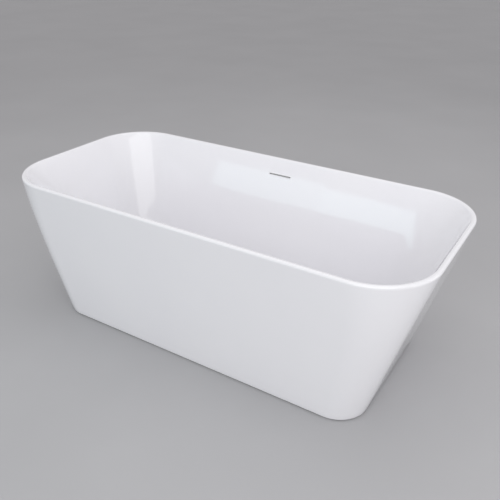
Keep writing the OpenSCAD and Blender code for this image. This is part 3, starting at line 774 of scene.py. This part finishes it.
def bevelled_box(bm, size, centre, bevel):
    """Adds a box with rounded edges to bm."""
    made = bmesh.ops.create_cube(bm, size=1)["verts"]
    for v in made:
        v.co = Vector(centre) + Vector([a * b for a, b in zip(v.co, size)])
    edges = list({e for v in made for e in v.link_edges})
    bmesh.ops.bevel(bm, geom=edges, offset=bevel, segments=3, profile=0.5, affect="EDGES")


def clamp_band(name):
    c = CLAMP_CHAMFER
    profile = [(BAND_R, c), (BAND_R, CLAMP_W - c), (BAND_R + c, CLAMP_W),
               (BAND_OUTER - c, CLAMP_W), (BAND_OUTER, CLAMP_W - c), (BAND_OUTER, c),
               (BAND_OUTER - c, 0), (BAND_R + c, 0)]
    return turned(name, profile, CLAMP_SIDES)


def add_worm_screw(bm):
    """The clamp's ridged screw and its round head, lying across the housing."""
    profile = [(0, -WORM_HALF)]
    for k in range(WORM_RIDGES):
        root = -WORM_HALF + WORM_PITCH * k
        profile += [(WORM_ROOT_R, root), (WORM_CREST_R, root + WORM_PITCH / 2)]
    profile += [(SCREW_HEAD_R, SCREW_HEAD_FROM), (SCREW_HEAD_R, SCREW_HEAD_CHAMFER_FROM),
                (SCREW_HEAD_TOP_R, WORM_HALF), (0, WORM_HALF)]
    screw = turned("screw", profile, SCREW_SIDES)
    screw.transform(Matrix.Translation((HOUSING_R, 0, CLAMP_W / 2)) @ Matrix.Rotation(math.pi / 2, 4, "X"))
    bm.from_mesh(screw)
    bpy.data.meshes.remove(screw)


def add_band_slots(bm):
    """The slanted slots round the band, as thin raised bars."""
    for k in range(BAND_SLOTS):
        a = 2 * math.pi * (k + 0.5) / BAND_SLOTS
        if math.cos(a) >= COVERED_COS:
            continue
        turn = Matrix.Rotation(a, 4, "Z") @ Matrix.Translation((BAND_OUTER, 0, CLAMP_W / 2))
        turn = turn @ Matrix.Rotation(BAND_SLOT_SLANT, 4, "X")
        for v in bmesh.ops.create_cube(bm, size=1)["verts"]:
            v.co = turn @ (v.co * BAND_SLOT_SIZE)


def clamp_piece(name, node, place):
    """Worm-drive clamp: a slotted band, its housing and the screw through it. Its axis is local Z."""
    band = clamp_band(name)
    bm = bmesh.new()
    bm.from_mesh(band)
    bevelled_box(bm, HOUSING_SIZE, (HOUSING_R, HOUSING_OFFSET, CLAMP_W / 2), HOUSING_BEVEL)
    add_worm_screw(bm)
    add_band_slots(bm)
    bm.to_mesh(band)
    bm.free()
    band.transform(place)
    sharpen(band, CLAMP_CREASE)
    new_piece(name, band, CHROME, node)


UPPER_CLAMP_DROP = 16 * MM


def clamp_pieces():
    y, z = spigot_point(UPPER_CLAMP_DROP)
    upper = Matrix.Translation((0, y, z)) @ Matrix.Rotation(math.pi - CAVITY_LEAN, 4, "X")
    lower_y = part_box("hose_clamp_lower")[0][1]
    lower = Matrix.Translation((0, lower_y, PORT_Z)) @ Matrix.Rotation(-math.pi / 2, 4, "X")
    clamp_piece("upper_clamp", "hose_clamp_upper", upper)
    clamp_piece("lower_clamp", "hose_clamp_lower", lower)


SPRING_TURNS = 6
SPRING_WIRE_R = 0.5 * MM
SPRING_STEPS = 30
WIRE_SIDES = 10
# Pitch of the two end turns, as a share of the others'
END_TURN_PITCH = 0.45


def spring_piece():
    """Coil spring under the plug, with closer end turns."""
    lo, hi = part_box("plug_spring")
    mean_r = (hi[0] - lo[0]) / 2 - SPRING_WIRE_R
    total = SPRING_TURNS * SPRING_STEPS
    rises = [END_TURN_PITCH if i < SPRING_STEPS or i >= total - SPRING_STEPS else 1.0 for i in range(total)]
    scale = (hi[2] - lo[2] - 2 * SPRING_WIRE_R) / sum(rises)
    z = lo[2] + SPRING_WIRE_R
    rings = []
    for i in range(total + 1):
        a = 2 * math.pi * i / SPRING_STEPS
        ring_points = []
        for k in range(WIRE_SIDES):
            b = 2 * math.pi * k / WIRE_SIDES
            r = mean_r + SPRING_WIRE_R * math.cos(b)
            ring_points.append(Vector((r * math.cos(a), r * math.sin(a), z + SPRING_WIRE_R * math.sin(b))))
        rings.append(ring_points)
        if i < total:
            z += rises[i] * scale
    mesh = loft("coil_spring", rings, False)
    sharpen(mesh, ROUND_CREASE)
    spring = new_piece("coil_spring", mesh, ZINC, "plug_spring")
    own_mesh(spring)


BEVEL = 0.35 * MM
BEVEL_SEGMENTS = 2
BEVEL_FROM_ANGLE = math.radians(40)


def soften_edges(cad):
    """Small rounded edges on a CAD node that is shown as it is."""
    modifier = cad.modifiers.new("edges", "BEVEL")
    modifier.width = BEVEL
    modifier.segments = BEVEL_SEGMENTS
    modifier.limit_method = "ANGLE"
    modifier.angle_limit = BEVEL_FROM_ANGLE
    modifier.harden_normals = True


# ---------- stage ----------
FLOOR_HALF = 15.0


def add_floor():
    bm = bmesh.new()
    bmesh.ops.create_grid(bm, x_segments=8, y_segments=8, size=FLOOR_HALF)
    mesh = bpy.data.meshes.new("studio_floor")
    bm.to_mesh(mesh)
    bm.free()
    mesh.materials.append(floor_material())
    obj = bpy.data.objects.new("studio_floor", mesh)
    bpy.context.collection.objects.link(obj)


def add_softbox(name, place, aim, width, height, power, color):
    data = bpy.data.lights.new(name, "AREA")
    data.shape = "RECTANGLE"
    data.size = width
    data.size_y = height
    data.energy = power
    data.color = color
    obj = bpy.data.objects.new(name, data)
    direction = Vector(aim) - Vector(place)
    obj.matrix_world = Matrix.Translation(place) @ direction.to_track_quat("-Z", "Y").to_matrix().to_4x4()
    bpy.context.collection.objects.link(obj)


WORLD_COLOR = (1.0, 0.985, 1.0, 1)
WORLD_STRENGTH = 0.61


def add_world():
    world = bpy.data.worlds.new("studio")
    world.use_nodes = True
    background = world.node_tree.nodes["Background"]
    background.inputs["Color"].default_value = WORLD_COLOR
    background.inputs["Strength"].default_value = WORLD_STRENGTH
    bpy.context.scene.world = world


PLAIN_LIGHT = (1, 1, 1)
WINDOW_LIGHT = (0.70, 0.97, 1.0)
# Name, place, point it faces, width, height, power in watts, colour
SOFTBOXES = (
    ("overhead", (0.1, 0.1, 3.4), (0, 0, 0.3), 3.8, 2.8, 20, PLAIN_LIGHT),
    ("front", (1.9, -3.1, 2.3), (0.1, 0, 0.3), 4.4, 3.4, 65, PLAIN_LIGHT),
    ("right", (3.7, 0.8, 0.8), (0.3, 0, 0.35), 3.4, 1.2, 20, PLAIN_LIGHT),
    ("left", (-3.3, -0.6, 1.1), (0, 0, 0.4), 3.2, 1.8, 2, PLAIN_LIGHT),
    ("back", (0.4, 3.2, 2.4), (0, 0, 0.3), 4.0, 2.4, 5, PLAIN_LIGHT),
    ("window_tall", (-1.66, -2.6, 0.98), (-1.66, 0, 0.98), 1.22, 0.86, 3.8, WINDOW_LIGHT),
    ("window_strip", (-0.575, -2.6, 1.19), (-0.575, 0, 1.19), 0.95, 0.36, 1.6, WINDOW_LIGHT),
)


bpy.context.scene.view_settings.view_transform = "Standard"
add_camera()
for node_name, cad in frame["nodes"].items():
    cad.data.materials.clear()
    cad.data.materials.append(BY_SLOT[slot_of[node_name]])
    soften_edges(cad)
basin_piece()
skirt_piece()
plug_cap_piece()
hose_piece()
clamp_pieces()
spring_piece()
for foot in (1, 2, 3, 4):
    stud_piece(foot)
    nut_pieces(foot)
add_floor()
add_world()
for softbox in SOFTBOXES:
    add_softbox(*softbox)
